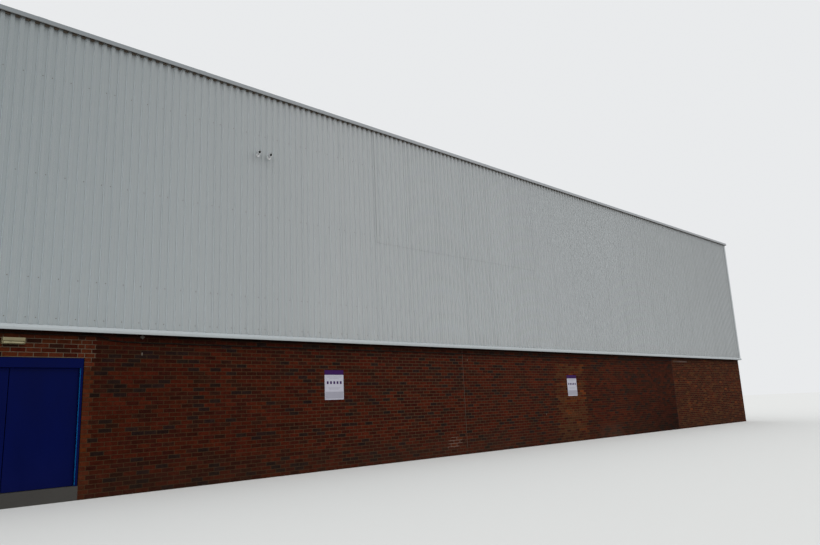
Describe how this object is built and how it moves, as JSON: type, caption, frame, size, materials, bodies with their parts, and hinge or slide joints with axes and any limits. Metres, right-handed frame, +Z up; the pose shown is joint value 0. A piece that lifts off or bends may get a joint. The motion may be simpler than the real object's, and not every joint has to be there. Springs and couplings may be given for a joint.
{
  "type": "supermarket building",
  "caption": "Long flat-topped supermarket building with a brick plinth wall, white profiled steel cladding above, a shallow steel roof behind the parapet and a pair of steel doors that open.",
  "frame": {"origin": "plan centre of the brickwork, at the lowest point where the walls meet the ground", "axes": "+Z up; +X along the front, to the right for someone who faces it; the front with the doors faces -Y"},
  "size_m": [38.11, 26.0838, 8.275],
  "materials": {
    "concrete": "matt, float finished",
    "brick": "matt, weathered facing brick with grey joints",
    "block": "matt, fair-faced blockwork",
    "steelwork": "satin, grey primer",
    "galvanised": "satin, galvanised",
    "cladding": "satin, off-white coated steel",
    "trim": "satin, white coated steel",
    "roof": "satin, goosewing grey coated steel",
    "door": "satin, deep blue gloss paint, weathered",
    "light": "cream plastic, aged",
    "camera": "white housing",
    "sign": "white panel, bare, with a purple band",
    "cable": "black sheath"
  },
  "bodies": {
    "building": {"floor_slab": "concrete", "door_threshold": "concrete", "front_brick_left": "brick", "front_brick_right": "brick", "front_brick_over_door": "brick", "rear_brick": "brick", "left_brick": "brick", "right_brick": "brick", "front_inner_wall": "block", "rear_inner_wall": "block", "gable_inner_walls": "block", "door_lintel": "concrete", "front_columns": "steelwork", "rear_columns": "steelwork", "gable_posts": "steelwork", "front_rafters": "steelwork", "rear_rafters": "steelwork", "front_rails": "galvanised", "rear_rails": "galvanised", "gable_rails": "galvanised", "purlins": "galvanised", "front_cladding_left": "cladding", "front_cladding_lower": "cladding", "front_cladding_upper": "cladding", "front_cladding_right": "cladding", "rear_cladding_left": "cladding", "rear_cladding_right": "cladding", "left_cladding": "cladding", "right_cladding": "cladding", "base_flashings": "trim", "corner_flashings": "trim", "wall_capping": "trim", "parapet_lining": "trim", "front_roof_sheets": "roof", "rear_roof_sheets": "roof", "ridge_cap": "roof", "gutters": "roof", "door_frame": "door", "over_door_panel": "door", "door_light": "light", "cameras": "camera", "sign_panels": "sign", "wall_cable": "cable"},
    "left_leaf": {"left_door_leaf": "door"},
    "right_leaf": {"right_door_leaf": "door"}
  },
  "joints": [
    {"name": "left_door_hinge", "type": "hinge", "parent": "building", "child": "left_leaf", "pos_m": [-11.593, -12.75, 1.2], "axis": [0, 0, -1], "range_deg": [0, 90]},
    {"name": "right_door_hinge", "type": "hinge", "parent": "building", "child": "right_leaf", "pos_m": [-9.501, -12.75, 1.2], "axis": [0, 0, 1], "range_deg": [0, 90]}
  ]
}
